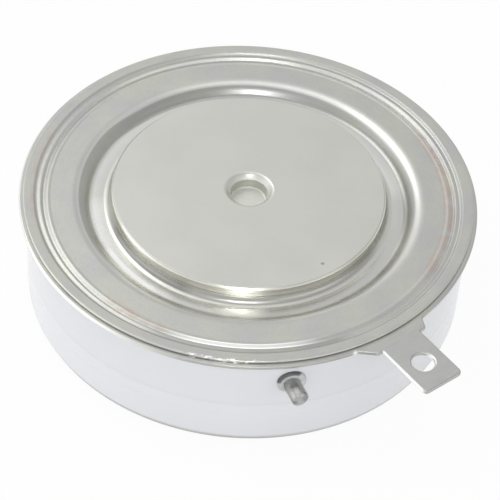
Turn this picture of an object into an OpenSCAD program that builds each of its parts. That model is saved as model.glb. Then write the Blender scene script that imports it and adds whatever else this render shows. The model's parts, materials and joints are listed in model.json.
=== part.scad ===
// Press-pack thyristor in a flat ceramic capsule.
// A silicon wafer is pressed between two copper pole pieces. A ring of glazed alumina insulates
// them from each other, and a thin flange brazed to each pole piece seals the ring.
// Millimetres, real size. The origin is the centre of the anode contact face, and +Z runs to
// the cathode contact face. Azimuths turn from -Y towards +X.

/* [Capsule] */
// Height from the anode contact face to the cathode contact face
capsule_h = 16.1; // [15:0.1:22]
// Diameter over the weld flange. The other diameters of the capsule and the stack follow it.
capsule_d = 58.5; // [52:0.5:66]
// Step from each contact face back to the outer face of the flange beside it
face_proud = 0.45; // [0.3:0.05:0.7]

/* [Pole pieces] */
// Distance from the edge of the weld flange in to the edge of each contact face
face_inset = 11.75; // [11:0.05:12.6]
// Chamfer round each contact face
face_chamfer = 0.25; // [0.1:0.05:0.5]
// Width of the shoulder that each flange is brazed to
shoulder_w = 2.8; // [2.6:0.1:3.4]
// Thickness of the cathode pole piece
cathode_pole_t = 6; // [5.8:0.1:7]
// Chamfer at the edge of the cathode pole piece inside the capsule
inner_chamfer = 1; // [0.4:0.1:1.4]
// Diameter of the centring hole in each contact face
centre_hole_d = 4.8; // [3:0.1:5.2]
// Depth of the centring holes
centre_hole_depth = 2; // [1.5:0.1:2.2]
// Diameter of the countersink at the mouth of each centring hole
countersink_d = 6.1; // [5.6:0.1:7]

/* [Cathode lid] */
// Thickness of the sheet
lid_t = 0.4; // [0.4:0.05:0.5]
// Distance from the edge of the weld flange in to the edge of the lid
lid_inset = 0.55; // [0.3:0.05:0.8]
// Depth of the groove round the pole piece, below the rim
groove_depth = 1.85; // [1.6:0.05:2.2]
// Width of the flat floor of the groove
groove_floor_w = 2.2; // [1.8:0.1:2.4]
// Width of the curved wall between the groove and the plain annulus
groove_wall_w = 2.1; // [1.8:0.1:2.6]
// Step from the rim down to the plain annulus
annulus_drop = 0.45; // [0.3:0.05:0.55]
// Width of the rim, from the step to the edge of the lid
rim_w = 2.3; // [2.1:0.05:2.5]
// Width of the step
rim_step_w = 0.9; // [0.7:0.05:1.2]
// Width of the groove pressed into the rim along the weld
weld_groove_w = 0.7; // [0.5:0.05:0.8]
// Depth of the groove along the weld
weld_groove_depth = 0.2; // [0.1:0.02:0.24]
// Distance from the step to the middle of the groove along the weld
weld_groove_gap = 0.55; // [0.5:0.05:0.8]

/* [Weld flange and auxiliary cathode tab] */
// Thickness of the sheet
weld_flange_t = 0.6; // [0.5:0.05:0.8]
// Rounding of the outer edges of the flanges
edge_round = 0.18; // [0.1:0.02:0.18]
// Azimuth of the tab
tab_azimuth = 39.7; // [30:0.1:180]
// Reach of the tab beyond the edge of the flange
tab_reach = 9.1; // [6:0.1:12]
// Width of the blade
tab_w = 5.9; // [4.8:0.1:6.3]
// Width of the wide root at its foot
tab_root_w = 10; // [9:0.2:12]
// Taper of each side of the root
tab_root_taper = 0.7; // [0:0.1:1]
// Distance from the blade's middle line to the root's, towards the gate
tab_root_shift = 0.4; // [0:0.1:0.8]
// Reach of the root beyond the edge of the flange
tab_root_reach = 1.2; // [0.8:0.1:2]
// Radius of the corners at the tip
tab_corner_r = 0.7; // [0.4:0.1:1.2]
// Diameter of the hole for a lead
tab_hole_d = 2.8; // [2:0.1:3.2]
// Distance from the tip to the middle of the hole
tab_hole_setback = 3.9; // [2.5:0.1:4.1]

/* [Ceramic ring] */
// Distance from the edge of the weld flange in to the outer wall
ceramic_inset = 0.85; // [0.6:0.05:1.2]
// Wall
ceramic_wall = 4; // [3.6:0.1:4.4]
// Radius of the outer edges
ceramic_round = 0.4; // [0.2:0.05:0.6]

/* [Anode flange] */
// Thickness of the sheet
anode_flange_t = 0.4; // [0.4:0.05:0.6]
// Distance from the edge of the weld flange in to the edge of the anode flange
anode_flange_inset = 1.15; // [0.8:0.05:1.5]

/* [Gate terminal] */
// Azimuth of the gate tube
gate_azimuth = 13.5; // [0:0.5:20]
// Distance from the top of the weld flange down to the axis of the tube
gate_drop = 3.85; // [3.5:0.05:4]
// Outer diameter of the tube
gate_tube_d = 2.1; // [1.8:0.05:2.2]
// Bore of the tube
gate_tube_bore = 1.1; // [1:0.05:1.2]
// Length of the tube outside the ceramic, along its axis
gate_reach = 3.3; // [3:0.1:6]
// Sideways bend of the tube outside its collar, towards the tab, in degrees
gate_bend = 13; // [5:0.5:15]
// Height of the domed end of the tube
gate_dome_h = 0.35; // [0.2:0.05:0.6]
// Diameter of the braze collar where the tube leaves the ceramic
collar_d = 3.6; // [3:0.1:4]
// Height of the collar
collar_h = 0.45; // [0.3:0.05:0.7]

/* [Gate contact] */
// Diameter of the gate wire
gate_wire_d = 0.8; // [0.6:0.05:0.8]
// Outer diameter of the sleeve on the wire
sleeve_d = 1.4; // [1.2:0.05:1.5]
// Diameter of the pocket in the cathode pole piece
pocket_d = 7.2; // [6.8:0.1:7.8]
// Depth of the pocket
pocket_depth = 3.4; // [3.2:0.05:3.6]
// Diameter of the neck of the gate guide
guide_neck_d = 5.8; // [4:0.1:6]
// Wall of the gate cap
cap_wall = 0.8; // [0.6:0.05:1]
// Thickness of the washer between wire and spring
washer_t = 0.3; // [0.2:0.05:0.4]
// Diameter of the spring's wire
spring_wire_d = 0.36; // [0.3:0.02:0.4]
// Outer diameter of the spring
spring_d = 4.2; // [3.6:0.1:4.6]
// Turns of the spring
spring_turns = 2.25; // [1.5:0.25:2.25]

/* [Wafer stack] */
// Overhang of the wafer and the anode molybdenum disc beyond the contact faces
wafer_overhang = 1.5; // [1.2:0.1:1.8]
// Thickness of the wafer
wafer_t = 0.6; // [0.4:0.05:0.8]
// Width of the bevel at the edge of the wafer
bevel_w = 1; // [0.6:0.1:1.2]
// Thickness of the anode molybdenum disc
anode_moly_t = 2.2; // [1.5:0.1:2.5]
// Distance from the edge of the contact faces in to that of the cathode molybdenum disc
cathode_moly_inset = 0.5; // [0.3:0.1:1.5]
// Thickness of the cathode molybdenum disc
cathode_moly_t = 1.3; // [1:0.1:1.6]
// Thickness of each silver foil
foil_t = 0.1; // [0.05:0.01:0.2]
// Distance from the edge of the wafer in to that of the anode silver foil
anode_foil_inset = 1; // [0.5:0.1:2]
// Wall of the rubber seal outside the edge of the wafer
seal_wall = 0.8; // [0.5:0.1:1]
// Height of the seal above the wafer
seal_h = 0.4; // [0.3:0.05:0.6]
// Height of the locating ring above the seal's foot
ring_lip_h = 1.4; // [1:0.1:1.6]
// Gap between the anode flange and the skirt of the locating ring
ring_gap = 0.8; // [0.4:0.1:1]

/* [Hidden] */
$fn = 96;

// Gaps between pieces
braze_t = 0.1;
slip = 0.1;
ring_slip = 0.2;

// Radii
weld_flange_r = capsule_d / 2;
contact_r = weld_flange_r - face_inset;
shoulder_r = contact_r + shoulder_w;
flange_bore_r = contact_r + braze_t;
floor_r = flange_bore_r + groove_floor_w;
annulus_r = floor_r + groove_wall_w;
lid_r = weld_flange_r - lid_inset;
rim_step_r = lid_r - rim_w;
weld_flange_bore_r = rim_step_r + slip;
weld_groove_r = rim_step_r + weld_groove_gap;
ceramic_r = weld_flange_r - ceramic_inset;
ceramic_bore_r = ceramic_r - ceramic_wall;
anode_flange_r = weld_flange_r - anode_flange_inset;
braze_r = min(ceramic_r - ceramic_round, anode_flange_r - edge_round);
wafer_r = contact_r + wafer_overhang;
seal_r = wafer_r + seal_wall;
cathode_moly_r = contact_r - cathode_moly_inset;
pocket_r = pocket_d / 2;
cap_r = pocket_r - slip;
guide_hole_r = guide_neck_d / 2 + slip;

// Heights on the cathode side
z_rim = capsule_h - face_proud;
z_seam = z_rim - lid_t;
z_weld_flange = z_seam - weld_flange_t;
z_ceramic_top = z_weld_flange - braze_t;
z_floor = z_rim - groove_depth;
z_shoulder = z_floor - lid_t - braze_t;
z_gate = z_seam - gate_drop;

// Heights on the anode side
z_anode_rim = face_proud;
z_ceramic_base = z_anode_rim + anode_flange_t + braze_t;
z_anode_floor = z_anode_rim + groove_depth;
z_anode_shoulder = z_anode_floor + anode_flange_t + braze_t;

// Heights of the stack, from the cathode pole piece down
z_pole = capsule_h - cathode_pole_t;
z_cathode_moly = z_pole - cathode_moly_t;
z_wafer_top = z_cathode_moly - foil_t;
z_wafer = z_wafer_top - wafer_t;
z_anode_moly = z_wafer - anode_moly_t;
z_anode_pole = z_anode_moly - foil_t;

// Heights of the gate contact
guide_flange_t = 0.4;
z_guide = z_pole + guide_flange_t;
z_wire = z_guide + gate_wire_d / 2;
z_washer = z_guide + gate_wire_d;
z_cap = z_pole + pocket_depth - slip / 2;
cap_roof_t = 0.4;
wire_rise = z_gate - z_wire;

// Lengths along the gate tube. The bend is a little way outside the collar.
gate_inner_end = ceramic_bore_r - 0.8;
gate_bend_start = collar_h + 0.4;
gate_bend_foot = ceramic_r + gate_bend_start;
gate_end_l = gate_reach - gate_bend_start;
gate_end_wall = 0.7;
gate_bore_l = gate_end_l - gate_end_wall;

// Steps of an arc in a section
arc_n = 6;

// Two equal arcs that lead the middle line of a sheet from [r0, z0] to [r1, z1]. Each point
// is [r, z, nr, nz], where n is the normal on the upper side.
function joggle(r0, z0, r1, z1) =
    let (
        up = sign(z1 - z0),
        turn = 2 * atan(max(abs(z1 - z0), 0.001) / (r1 - r0)),
        bend = (r1 - r0) / (2 * sin(turn))
    )
    concat(
        [for (i = [0:arc_n]) let (a = turn * i / arc_n)
            [r0 + bend * sin(a), z0 + up * bend * (1 - cos(a)), -up * sin(a), cos(a)]],
        [for (i = [arc_n - 1:-1:0]) let (a = turn * i / arc_n)
            [r1 - bend * sin(a), z1 - up * bend * (1 - cos(a)), -up * sin(a), cos(a)]]
    );

// Quarter circle round a convex corner with its arc's middle at c, from angle a0 to a0 + 90
function round_corner(c, r, a0) =
    [for (i = [0:arc_n]) let (a = a0 + 90 * i / arc_n) [c[0] + r * cos(a), c[1] + r * sin(a)]];

// Points at a distance from the middle line, on the upper side if it is positive
function beside(line, distance) =
    [for (p = line) [p[0] + p[2] * distance, p[1] + p[3] * distance]];

function reversed(points) = [for (i = [len(points) - 1:-1:0]) points[i]];

function unit(v) = v / norm(v);

// Pressed sheet of revolution about Z, from the bore to a rounded outer edge at radius edge_r
module pressed_sheet(line, t, edge_r, z_edge) {
    lower = round_corner([edge_r - edge_round, z_edge - t / 2 + edge_round], edge_round, -90);
    upper = round_corner([edge_r - edge_round, z_edge + t / 2 - edge_round], edge_round, 0);
    rotate_extrude()
        polygon(concat(beside(line, -t / 2), lower, upper, reversed(beside(line, t / 2))));
}

// Flat ring about Z
module flat_ring(z, h, r_in, r_out) {
    translate([0, 0, z])
        difference() {
            cylinder(h = h, r = r_out);
            translate([0, 0, -h / 2])
                cylinder(h = 2 * h, r = r_in);
        }
}

// Round rod along a path of points, as rings of sides points. The rings turn about the
// direction across, which no stretch of the path follows.
module swept_rod(path, d, sides, across) {
    last = len(path) - 1;
    tangents = [for (i = [0:last]) unit(path[min(i + 1, last)] - path[max(i - 1, 0)])];
    points = [for (i = [0:last]) let (
            side = unit(cross(tangents[i], across)),
            top = cross(side, tangents[i])
        )
        for (k = [0:sides - 1]) let (a = 360 * k / sides)
            path[i] + d / 2 * (cos(a) * side + sin(a) * top)];
    walls = [for (i = [0:last - 1], k = [0:sides - 1]) let (n = (k + 1) % sides)
        [i * sides + k, i * sides + n, (i + 1) * sides + n, (i + 1) * sides + k]];
    start = [for (k = [sides - 1:-1:0]) k];
    end = [for (k = [0:sides - 1]) last * sides + k];
    polyhedron(points, concat([start], walls, [end]));
}

// Turns local +Z into the outward direction of the gate, and local +Y into up
module along_gate(z) {
    rotate([0, 0, gate_azimuth])
        translate([0, 0, z])
            rotate([90, 0, 0])
                children();
}

// Countersunk hole downwards from the origin, to be cut out of a contact face
module centring_hole() {
    over = 1;
    translate([0, 0, -centre_hole_depth])
        cylinder(h = centre_hole_depth + over, d = centre_hole_d);
    cone_h = (countersink_d - centre_hole_d) / 2;
    translate([0, 0, -cone_h])
        cylinder(h = cone_h + over, d1 = centre_hole_d, d2 = countersink_d + 2 * over);
}

// Braze between a pole piece's shoulder and a flange, with a fillet at the wall of the pole.
// z is the shoulder, and up is the direction away from it.
module pole_braze(z, up, sheet_t) {
    fillet = 0.35;
    foot = z + up * braze_t;
    top = foot + up * sheet_t;
    rotate_extrude()
        polygon([
            [contact_r, z],
            [floor_r, z],
            [floor_r, foot],
            [flange_bore_r, foot],
            [flange_bore_r, top],
            [flange_bore_r + fillet, top],
            [contact_r, top + up * fillet]
        ]);
}

module cathode_pole() {
    slot_w = sleeve_d + 2 * ring_slip;
    slot_h = z_wire + sleeve_d / 2 + slip - z_pole;
    color("lightgray")
        difference() {
            rotate_extrude()
                polygon([
                    [0, z_pole],
                    [shoulder_r - inner_chamfer, z_pole],
                    [shoulder_r, z_pole + inner_chamfer],
                    [shoulder_r, z_shoulder],
                    [contact_r, z_shoulder],
                    [contact_r, capsule_h - face_chamfer],
                    [contact_r - face_chamfer, capsule_h],
                    [0, capsule_h]
                ]);
            translate([0, 0, capsule_h])
                centring_hole();
            translate([0, 0, z_pole - 1])
                cylinder(h = pocket_depth + 1, r = pocket_r);
            rotate([0, 0, gate_azimuth])
                translate([-slot_w / 2, -shoulder_r - 1, z_pole - 1])
                    cube([slot_w, shoulder_r + 1, slot_h + 1]);
        }
}

module cathode_pole_braze() {
    color("rosybrown")
        pole_braze(z_shoulder, 1, lid_t);
}

module cathode_lid() {
    z_mid = z_rim - lid_t / 2;
    line = concat(
        [[flange_bore_r, z_mid - groove_depth, 0, 1]],
        joggle(floor_r, z_mid - groove_depth, annulus_r, z_mid - annulus_drop),
        joggle(rim_step_r - rim_step_w, z_mid - annulus_drop, rim_step_r, z_mid)
    );
    // The groove is a segment of a circle with the given width and depth
    groove_r = (pow(weld_groove_w / 2, 2) + pow(weld_groove_depth, 2)) / (2 * weld_groove_depth);
    color("silver")
        difference() {
            pressed_sheet(line, lid_t, lid_r, z_mid);
            rotate_extrude()
                translate([weld_groove_r, z_rim - weld_groove_depth + groove_r])
                    circle(r = groove_r);
        }
}

// Plate along -Y from y0 to y1, with round corners at the far end
module rounded_lug(y0, y1, w, corner_r) {
    translate([-w / 2, -(y1 - corner_r)])
        square([w, y1 - corner_r - y0]);
    translate([-w / 2 + corner_r, -y1])
        square([w - 2 * corner_r, y1 - y0]);
    for (side = [-1, 1])
        translate([side * (w / 2 - corner_r), -(y1 - corner_r)])
            circle(r = corner_r);
}

module weld_flange() {
    half_t = weld_flange_t / 2;
    root_corner_r = 0.5;
    lug_start = weld_flange_r - 1.4;
    root_end = weld_flange_r + tab_root_reach;
    root_end_w = tab_root_w - 2 * tab_root_taper;
    tip = weld_flange_r + tab_reach;
    color("silver")
        translate([0, 0, z_weld_flange]) {
            pressed_sheet([[weld_flange_bore_r, half_t, 0, 1]], weld_flange_t, weld_flange_r,
                half_t);
            rotate([0, 0, tab_azimuth])
                linear_extrude(weld_flange_t)
                    difference() {
                        union() {
                            translate([-tab_root_shift, 0]) {
                                rounded_lug(lug_start, root_end, root_end_w, root_corner_r);
                                polygon([
                                    [-tab_root_w / 2, -lug_start],
                                    [tab_root_w / 2, -lug_start],
                                    [root_end_w / 2, root_corner_r - root_end],
                                    [-root_end_w / 2, root_corner_r - root_end]
                                ]);
                            }
                            rounded_lug(lug_start, tip, tab_w, tab_corner_r);
                        }
                        translate([0, -(tip - tab_hole_setback)])
                            circle(d = tab_hole_d);
                    }
        }
}

module upper_ceramic_braze() {
    color("rosybrown")
        flat_ring(z_weld_flange - braze_t, braze_t, weld_flange_bore_r, braze_r);
}

module ceramic_ring() {
    edge_r = ceramic_r - ceramic_round;
    color("white")
        difference() {
            rotate_extrude()
                polygon(concat(
                    [[ceramic_bore_r, z_ceramic_top], [ceramic_bore_r, z_ceramic_base]],
                    round_corner([edge_r, z_ceramic_base + ceramic_round], ceramic_round, -90),
                    round_corner([edge_r, z_ceramic_top - ceramic_round], ceramic_round, 0)
                ));
            along_gate(z_gate)
                translate([0, 0, ceramic_bore_r - 1])
                    cylinder(h = ceramic_wall + 2, d = gate_tube_d + 2 * braze_t);
        }
}

module lower_ceramic_braze() {
    color("rosybrown")
        flat_ring(z_ceramic_base - braze_t, braze_t, ceramic_bore_r, braze_r);
}

module anode_flange() {
    z_mid = z_anode_rim + anode_flange_t / 2;
    line = concat(
        [[flange_bore_r, z_mid + groove_depth, 0, 1]],
        joggle(floor_r, z_mid + groove_depth, annulus_r, z_mid)
    );
    color("silver")
        pressed_sheet(line, anode_flange_t, anode_flange_r, z_mid);
}

module anode_pole_braze() {
    color("rosybrown")
        pole_braze(z_anode_shoulder, -1, anode_flange_t);
}

module anode_pole() {
    color("lightgray")
        difference() {
            rotate_extrude()
                polygon([
                    [0, 0],
                    [contact_r - face_chamfer, 0],
                    [contact_r, face_chamfer],
                    [contact_r, z_anode_shoulder],
                    [shoulder_r, z_anode_shoulder],
                    [shoulder_r, z_anode_pole],
                    [0, z_anode_pole]
                ]);
            mirror([0, 0, 1])
                centring_hole();
        }
}

// Turns local +Z into the direction of the gate tube beyond its bend
module beyond_gate_bend() {
    along_gate(z_gate)
        translate([0, 0, gate_bend_foot])
            rotate([0, gate_bend, 0])
                children();
}

// Block beyond the mitre of the gate's bend if side is 1, and short of it if side is -1
module gate_mitre_block(side) {
    size = 2 * gate_tube_d;
    along_gate(z_gate)
        translate([0, 0, gate_bend_foot])
            rotate([0, gate_bend / 2, 0])
                translate([0, 0, side * size / 2])
                    cube(size, center = true);
}

// Round bar from the radius start to the mitre, and the children beyond it, which start at
// -d on their own Z
module mitred_gate_bar(d, start) {
    difference() {
        along_gate(z_gate)
            translate([0, 0, start])
                cylinder(h = gate_bend_foot + d - start, d = d);
        gate_mitre_block(1);
    }
    difference() {
        beyond_gate_bend()
            children();
        gate_mitre_block(-1);
    }
}

module gate_tube() {
    tube_r = gate_tube_d / 2;
    dome_foot = gate_end_l - gate_dome_h;
    color("dimgray")
        difference() {
            mitred_gate_bar(gate_tube_d, gate_inner_end)
                rotate_extrude()
                    polygon(concat(
                        [[0, -gate_tube_d], [tube_r, -gate_tube_d]],
                        [for (i = [0:arc_n]) let (a = 90 * i / arc_n)
                            [tube_r * cos(a), dome_foot + gate_dome_h * sin(a)]]
                    ));
            mitred_gate_bar(gate_tube_bore, gate_inner_end - 1)
                translate([0, 0, -gate_tube_bore])
                    cylinder(h = gate_tube_bore + gate_bore_l, d = gate_tube_bore);
        }
}

module gate_braze_collar() {
    collar_r = collar_d / 2;
    collar_top = ceramic_r + collar_h;
    fillet = 0.3;
    color("gray")
        difference() {
            union() {
                along_gate(z_gate)
                    translate([0, 0, ceramic_bore_r + braze_t])
                        cylinder(h = ceramic_wall, d = gate_tube_d + 2 * braze_t);
                difference() {
                    along_gate(z_gate)
                        rotate_extrude()
                            polygon([
                                [0, ceramic_r - collar_h],
                                [collar_r, ceramic_r - collar_h],
                                [collar_r, collar_top - fillet],
                                [collar_r - fillet, collar_top],
                                [0, collar_top]
                            ]);
                    cylinder(h = capsule_h, r = ceramic_r);
                }
            }
            along_gate(z_gate)
                translate([0, 0, gate_inner_end])
                    cylinder(h = gate_bend_foot - gate_inner_end, d = gate_tube_d);
        }
}

// The outer end of the wire stands on the bottom of the tube's bore, and the inner end turns
// down to the wafer
module gate_wire() {
    bend_in = shoulder_r + 0.6;
    bend_out = ceramic_bore_r - 1;
    elbow_r = 0.7;
    // Points as [radius, height above the axis of the tube]
    bends = reversed(joggle(bend_in, -wire_rise, bend_out, 0));
    elbow = [for (i = [0:arc_n]) let (a = 90 * i / arc_n)
        [elbow_r - elbow_r * sin(a), -wire_rise - elbow_r + elbow_r * cos(a)]];
    inner = [for (p = concat(bends, elbow, [[0, z_wafer_top - z_gate]])) [0, p[1], p[0]]];
    tube_bend = [0, 0, gate_bend_foot];
    tip = tube_bend + gate_bore_l * [sin(gate_bend), 0, cos(gate_bend)];
    color("gainsboro")
        along_gate(z_gate)
            swept_rod(concat([tip, tube_bend], inner), gate_wire_d, 12, [1, 0, 0]);
}

module gate_sleeve() {
    start = pocket_r + slip;
    end = shoulder_r - slip;
    color("ivory")
        along_gate(z_wire)
            translate([0, 0, start])
                difference() {
                    cylinder(h = end - start, d = sleeve_d);
                    translate([0, 0, -1])
                        cylinder(h = end - start + 2, d = gate_wire_d + slip);
                }
}

module gate_cap() {
    slot_w = gate_wire_d + 2 * slip;
    color("ivory")
        difference() {
            translate([0, 0, z_guide])
                cylinder(h = z_cap - z_guide, r = cap_r);
            translate([0, 0, z_guide - 1])
                cylinder(h = z_cap - cap_roof_t - z_guide + 1, r = cap_r - cap_wall);
            rotate([0, 0, gate_azimuth])
                translate([-slot_w / 2, -cap_r - 1, z_guide - 1])
                    cube([slot_w, cap_r + 1, gate_wire_d + slip + 1]);
        }
}

module gate_spring() {
    coil_r = (spring_d - spring_wire_d) / 2;
    foot = z_washer + washer_t + spring_wire_d / 2;
    head = z_cap - cap_roof_t - spring_wire_d / 2;
    steps = ceil(spring_turns * 20);
    path = [for (i = [0:steps]) let (a = 360 * spring_turns * i / steps)
        [coil_r * cos(a), coil_r * sin(a), foot + (head - foot) * i / steps]];
    color("lightsteelblue")
        swept_rod(path, spring_wire_d, 8, [0, 0, 1]);
}

module gate_washer() {
    color("ivory")
        translate([0, 0, z_washer])
            cylinder(h = washer_t, r = cap_r - cap_wall - slip);
}

module gate_guide() {
    z_neck = z_wafer_top + foil_t;
    bore_d = gate_wire_d + 2 * slip;
    // The mouth of the bore flares for the bend of the wire
    mouth_h = guide_flange_t / 2;
    color("ivory")
        difference() {
            union() {
                translate([0, 0, z_neck])
                    cylinder(h = z_guide - z_neck, d = guide_neck_d);
                translate([0, 0, z_pole])
                    cylinder(h = guide_flange_t, r = cap_r);
            }
            translate([0, 0, z_neck - 1])
                cylinder(h = z_guide - z_neck + 2, d = bore_d);
            translate([0, 0, z_guide - mouth_h])
                cylinder(h = 2 * mouth_h, d1 = bore_d, d2 = bore_d + 6 * mouth_h);
        }
}

module cathode_moly_disc() {
    color("darkgray")
        flat_ring(z_cathode_moly, cathode_moly_t, guide_hole_r, cathode_moly_r);
}

module cathode_silver_foil() {
    color("whitesmoke")
        flat_ring(z_wafer_top, foil_t, guide_hole_r, cathode_moly_r);
}

module silicon_wafer() {
    bevel_foot = 0.25 * wafer_t;
    color("slategray")
        rotate_extrude()
            polygon([
                [0, z_wafer],
                [wafer_r, z_wafer],
                [wafer_r, z_wafer + bevel_foot],
                [wafer_r - bevel_w, z_wafer_top],
                [0, z_wafer_top]
            ]);
}

module edge_seal() {
    bevel_foot = 0.25 * wafer_t;
    seal_in_r = (cathode_moly_r + wafer_r - bevel_w) / 2;
    z_seal = z_wafer_top + seal_h;
    soft = 0.25;
    color("firebrick")
        rotate_extrude()
            polygon(concat(
                [
                    [seal_in_r, z_wafer_top],
                    [wafer_r - bevel_w, z_wafer_top],
                    [wafer_r, z_wafer + bevel_foot],
                    [wafer_r, z_wafer],
                    [seal_r, z_wafer]
                ],
                round_corner([seal_r - soft, z_seal - soft], soft, 0),
                [[seal_in_r, z_seal]]
            ));
}

module anode_moly_disc() {
    color("darkgray")
        translate([0, 0, z_anode_moly])
            cylinder(h = anode_moly_t, r = wafer_r);
}

module anode_silver_foil() {
    color("whitesmoke")
        translate([0, 0, z_anode_pole])
            cylinder(h = foil_t, r = wafer_r - anode_foil_inset);
}

module locating_ring() {
    outer_r = ceramic_bore_r - ring_slip;
    lip_r = seal_r + ring_slip;
    z_step = z_wafer - slip;
    z_lip = z_step + ring_lip_h;
    z_skirt = z_anode_floor + anode_flange_t + ring_gap;
    lip_chamfer = 0.8;
    color("white")
        rotate_extrude()
            polygon([
                [wafer_r + slip, z_anode_pole],
                [shoulder_r + slip, z_anode_pole],
                [shoulder_r + slip, z_skirt],
                [outer_r, z_skirt],
                [outer_r, z_lip - lip_chamfer],
                [outer_r - lip_chamfer, z_lip],
                [lip_r, z_lip],
                [lip_r, z_step],
                [wafer_r + slip, z_step]
            ]);
}

cathode_pole();
cathode_pole_braze();
cathode_lid();
weld_flange();
upper_ceramic_braze();
ceramic_ring();
lower_ceramic_braze();
anode_flange();
anode_pole_braze();
anode_pole();
gate_tube();
gate_braze_collar();
gate_wire();
gate_sleeve();
gate_cap();
gate_spring();
gate_washer();
gate_guide();
cathode_moly_disc();
cathode_silver_foil();
silicon_wafer();
edge_seal();
anode_moly_disc();
anode_silver_foil();
locating_ring();
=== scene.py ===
"""Looks of a press-pack thyristor capsule: plated sheet, copper poles and a glazed ceramic ring."""

import json
import logging
import math
from dataclasses import dataclass
from enum import Enum
from functools import cached_property, reduce

import bmesh
import bpy
import numpy as np
from bpy.types import ID, Material, Mesh, NodeSocket, Object, bpy_prop_collection
from mathutils import Matrix, Vector
from mathutils.geometry import tessellate_polygon


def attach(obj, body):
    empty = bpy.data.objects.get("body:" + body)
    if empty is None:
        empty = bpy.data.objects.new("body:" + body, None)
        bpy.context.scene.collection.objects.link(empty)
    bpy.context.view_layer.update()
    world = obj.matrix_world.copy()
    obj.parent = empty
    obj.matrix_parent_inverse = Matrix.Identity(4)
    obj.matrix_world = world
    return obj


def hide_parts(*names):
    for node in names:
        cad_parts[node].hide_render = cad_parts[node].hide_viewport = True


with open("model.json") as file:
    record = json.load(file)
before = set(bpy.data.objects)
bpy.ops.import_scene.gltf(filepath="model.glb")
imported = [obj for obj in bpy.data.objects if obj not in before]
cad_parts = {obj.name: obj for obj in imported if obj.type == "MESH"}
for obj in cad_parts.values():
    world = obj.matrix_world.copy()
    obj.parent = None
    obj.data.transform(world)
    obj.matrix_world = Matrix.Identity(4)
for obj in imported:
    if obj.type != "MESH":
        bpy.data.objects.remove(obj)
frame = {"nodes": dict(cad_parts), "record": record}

Array = np.ndarray
LOG = logging.getLogger("capsule")
BODY = "root"
BRIGHT = "bright"
MM = 0.001
TURN = 2 * math.pi
NO_LENGTH = 1e-9
ON_AXIS = 1e-6
MERGE_DISTANCE = 1e-7
CORNER_STEPS = 7
EDGE_STEPS = 6
WAVE_STEPS = 10
COLUMNS = 288
FINE_COLUMNS = 384
SHARP_DEGREES = 32.0
# Cosines, cut wall to lit way, over which its painted light rises from none to full.
PAINTED_LIGHT_COSINES = (0.6, 0.9)
MIX_SHARE, MIX_FIRST, MIX_SECOND, MIX_RESULT = 0, 6, 7, 2


# --- surfaces ---


def unit(vectors: Array) -> Array:
    """The rows' directions, with length 1. A row without length stays as it is."""
    return vectors / np.maximum(np.linalg.norm(vectors, axis=1, keepdims=True), NO_LENGTH)


def round_corners(corners: list, steps: int = CORNER_STEPS) -> Array:
    """Rounds the corners of a closed outline.

    At a corner with unit directions a and b to its neighbours, and half the angle between them,
    the arc of radius q touches both sides at q / tan(half) from the corner. Its middle lies on the
    bisector at q / sin(half).

    Args:
        corners: rows of x, y and radius. A radius of almost nothing keeps a corner sharp.
        steps: points on each arc.

    Returns:
        The outline's points, (n * steps) x 2.
    """
    xy, radii = np.split(np.array(corners), [2], axis=1)
    a, b = (unit(np.roll(xy, shift, axis=0) - xy) for shift in (1, -1))
    half = np.arccos(np.clip((a * b).sum(1, keepdims=True), -1, 1)) / 2
    middle = xy + unit(a + b) * radii / np.sin(half)
    start, end = (np.arctan2(*(xy + way * radii / np.tan(half) - middle).T[::-1]) for way in (a, b))
    turn = (end - start + math.pi) % TURN - math.pi
    angles = start[:, None] + turn[:, None] * np.linspace(0, 1, steps)[None, :]
    directions = np.stack([np.cos(angles), np.sin(angles)], -1)
    return (middle[:, None] + radii[:, None] * directions).reshape(-1, 2)


def joggle(start: tuple, end: tuple, split: float = 0.5, steps: int = 12) -> Array:
    """Middle line of a sheet led from one height to another by two arcs.

    Both arcs turn by 2 atan(rise / run). The first takes the share split of the run and of the
    rise, so its bend is split * run / sin(turn), and a point at angle a of it is
    (r0 + bend sin a, z0 + bend (1 - cos a)). The second arc mirrors it with the rest.

    Args:
        start: radius r0 and height z0 at the start.
        end: radius and height at the end.
        split: share of the run that the first arc takes.
        steps: points on each arc.

    Returns:
        2 * steps - 1 points as rows of radius and height.
    """
    (r0, z0), (r1, z1) = start, end
    up = math.copysign(1.0, z1 - z0)
    turn = 2 * math.atan(abs(z1 - z0) / (r1 - r0))
    first, last = (share * (r1 - r0) / math.sin(turn) for share in (split, 1 - split))
    a = np.linspace(0, turn, steps)
    rise = np.stack([r0 + first * np.sin(a), z0 + up * first * (1 - np.cos(a))], -1)
    rest = np.stack([r1 - last * np.sin(a), z1 - up * last * (1 - np.cos(a))], -1)[::-1]
    return np.concatenate([rise, rest[1:]])


def waves(crests: tuple) -> Array:
    """A line led over crests and hollows, each joined to the next by half a cosine wave.

    Between two of them, at share s of the way, the height is z0 + (z1 - z0) (1 - cos(pi s)) / 2.

    Args:
        crests: rows of radius and height.

    Returns:
        Rows of radius and height.
    """
    s = np.linspace(0, 1, WAVE_STEPS, endpoint=False)
    share = np.stack([s, (1 - np.cos(math.pi * s)) / 2], -1)
    ends = np.array(crests)
    line = ends[:-1, None] + np.diff(ends, axis=0)[:, None] * share
    return np.concatenate([line.reshape(-1, 2), ends[-1:]])


def line_normals(line: Array, closed: bool) -> Array:
    """Normals of a line, each square to the step from the point before it to the one after.

    Args:
        line: n x 2 points.
        closed: whether the last point joins the first.

    Returns:
        n x 2 unit normals, to the left of the line's direction.
    """
    before, after = np.roll(line, 1, axis=0), np.roll(line, -1, axis=0)
    if not closed:
        before[0], after[-1] = line[0], line[-1]
    step = unit(after - before)
    return np.stack([-step[:, 1], step[:, 0]], -1)


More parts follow.
